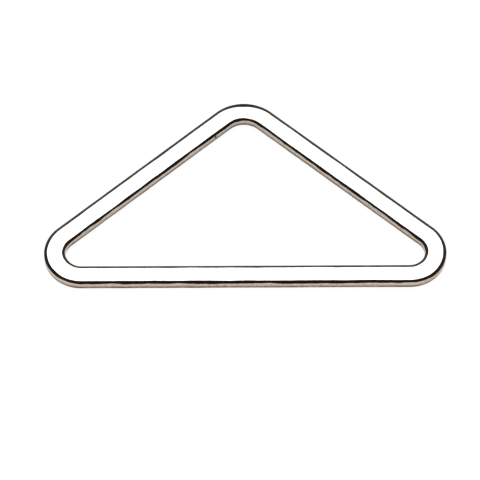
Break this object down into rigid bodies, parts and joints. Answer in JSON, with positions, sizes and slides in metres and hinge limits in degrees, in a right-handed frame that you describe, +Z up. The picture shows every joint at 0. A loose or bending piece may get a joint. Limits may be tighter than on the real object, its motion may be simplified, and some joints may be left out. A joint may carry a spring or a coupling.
{
  "type": "triangle rack",
  "caption": "Low flat-bar triangle frame with round corners and an open middle, joined by hidden tenons and set screws.",
  "frame": {"origin": "on the underside, at the middle of the outer length and width", "axes": "+X along the base rail, +Y from the base rail to the apex corner, +Z up from the face it rests on"},
  "size_m": [0.35, 0.1881, 0.0088],
  "materials": {
    "bar_metal": "polished, with a warm nickel tone",
    "tenon_steel": "bright drawn",
    "screw_steel": "blackened"
  },
  "bodies": {
    "root": {"base_rail": "bar_metal", "left_rail": "bar_metal", "right_rail": "bar_metal", "left_corner": "bar_metal", "right_corner": "bar_metal", "apex_corner": "bar_metal", "tenon_base_left": "tenon_steel", "tenon_base_right": "tenon_steel", "tenon_left_lower": "tenon_steel", "tenon_left_upper": "tenon_steel", "tenon_right_lower": "tenon_steel", "tenon_right_upper": "tenon_steel", "set_screw_base_left_corner": "screw_steel", "set_screw_base_left_rail": "screw_steel", "set_screw_base_right_corner": "screw_steel", "set_screw_base_right_rail": "screw_steel", "set_screw_left_lower_corner": "screw_steel", "set_screw_left_lower_rail": "screw_steel", "set_screw_left_upper_corner": "screw_steel", "set_screw_left_upper_rail": "screw_steel", "set_screw_right_lower_corner": "screw_steel", "set_screw_right_lower_rail": "screw_steel", "set_screw_right_upper_corner": "screw_steel", "set_screw_right_upper_rail": "screw_steel"}
  },
  "joints": []
}
